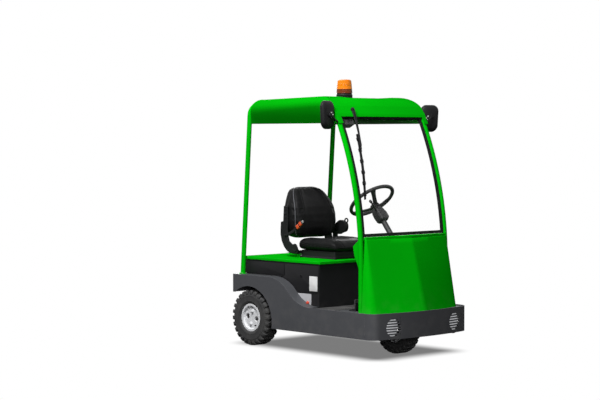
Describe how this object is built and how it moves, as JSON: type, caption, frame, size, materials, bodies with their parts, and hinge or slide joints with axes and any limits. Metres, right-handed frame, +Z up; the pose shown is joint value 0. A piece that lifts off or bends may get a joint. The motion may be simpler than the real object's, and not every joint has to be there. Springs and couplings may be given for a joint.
{
  "type": "airport baggage tug",
  "caption": "Three-wheel electric baggage tug: roofed open-sided cab, curved windscreen, seat on a hinged battery deck, steered front wheel and rear tow jaw.",
  "frame": {"origin": "on the ground, midway between the tow jaw's end and the bumper's nose, on the middle line", "axes": "+X forward, +Y to the driver's left, +Z up"},
  "size_m": [1.8, 1.32, 2.1872],
  "materials": {
    "green_paint": "gloss powder coat",
    "grey_paint": "satin powder coat",
    "black_paint": "satin powder coat",
    "white_paint": "gloss enamel",
    "battery_case": "moulded",
    "glass": "clear",
    "rubber": "matt",
    "black_plastic": "fine grain",
    "grey_plastic": "fine grain",
    "soft_plastic": "soft foam skin",
    "amber_lens": "clear ribbed",
    "red_lens": "clear ribbed",
    "red_plastic": "moulded",
    "lamp_can": "moulded",
    "cast_iron": "painted casting",
    "tyre": "matt",
    "seat_vinyl": "grained vinyl"
  },
  "bodies": {
    "chassis": {"frame_rails": "black_paint", "cross_members": "black_paint", "side_skirt_right": "grey_paint", "side_skirt_left": "grey_paint", "front_bumper": "grey_paint", "rear_plate": "grey_paint", "floor_plate": "grey_paint", "wheel_housing": "black_paint", "battery_box": "black_paint", "battery_pack": "battery_case", "cowl": "green_paint", "dashboard": "green_paint", "front_pillar_right": "green_paint", "front_pillar_left": "green_paint", "rear_hoop": "green_paint", "roof": "green_paint", "windscreen": "glass", "windscreen_seal": "rubber", "wiper_arm": "black_plastic", "wiper_blade": "rubber", "wiper_motor": "grey_plastic", "mirror_arms": "black_plastic", "mirror_head_right": "black_plastic", "mirror_head_left": "black_plastic", "beacon_base": "black_plastic", "beacon_lens": "amber_lens", "steering_column": "black_plastic", "pedals": "black_paint", "headlamps": "lamp_can", "tail_lamps": "red_lens", "tow_hitch": "black_paint", "rear_axle": "cast_iron", "drive_motor": "cast_iron"},
    "steering_wheel": {"steering_wheel": "soft_plastic"},
    "fork": {"front_fork": "black_paint"},
    "front_wheel": {"front_rim": "white_paint", "front_tyre": "tyre"},
    "rear_wheel_right": {"rear_rim_right": "white_paint", "rear_tyre_right": "tyre"},
    "rear_wheel_left": {"rear_rim_left": "white_paint", "rear_tyre_left": "tyre"},
    "deck": {"seat_deck": "green_paint", "seat_base": "black_plastic", "seat_cushion": "seat_vinyl", "seat_back": "seat_vinyl", "seat_brackets": "black_plastic", "belt_buckle": "red_plastic", "belt_retractor": "black_plastic"}
  },
  "joints": [
    {"name": "front_steer", "type": "hinge", "parent": "chassis", "child": "fork", "pos_m": [0.58, 0, 0.45], "axis": [0, 0, 1], "range_deg": [-70, 70]},
    {"name": "steering_wheel_turn", "type": "hinge", "parent": "chassis", "child": "steering_wheel", "pos_m": [0.287, 0, 1.206], "axis": [-0.632, 0, 0.7749], "range_deg": [-560, 560]},
    {"name": "front_wheel_spin", "type": "hinge", "parent": "fork", "child": "front_wheel", "pos_m": [0.58, 0, 0.2075], "axis": [0, 1, 0], "continuous": true},
    {"name": "rear_right_spin", "type": "hinge", "parent": "chassis", "child": "rear_wheel_right", "pos_m": [-0.6, -0.465, 0.23], "axis": [0, 1, 0], "continuous": true},
    {"name": "rear_left_spin", "type": "hinge", "parent": "chassis", "child": "rear_wheel_left", "pos_m": [-0.6, 0.465, 0.23], "axis": [0, 1, 0], "continuous": true},
    {"name": "deck_tilt", "type": "hinge", "parent": "chassis", "child": "deck", "pos_m": [-0.7805, 0, 0.705], "axis": [0, -1, 0], "range_deg": [0, 60]}
  ],
  "couplings": [
    {"joint": "steering_wheel_turn", "follows": "front_steer", "ratio": 8}
  ]
}
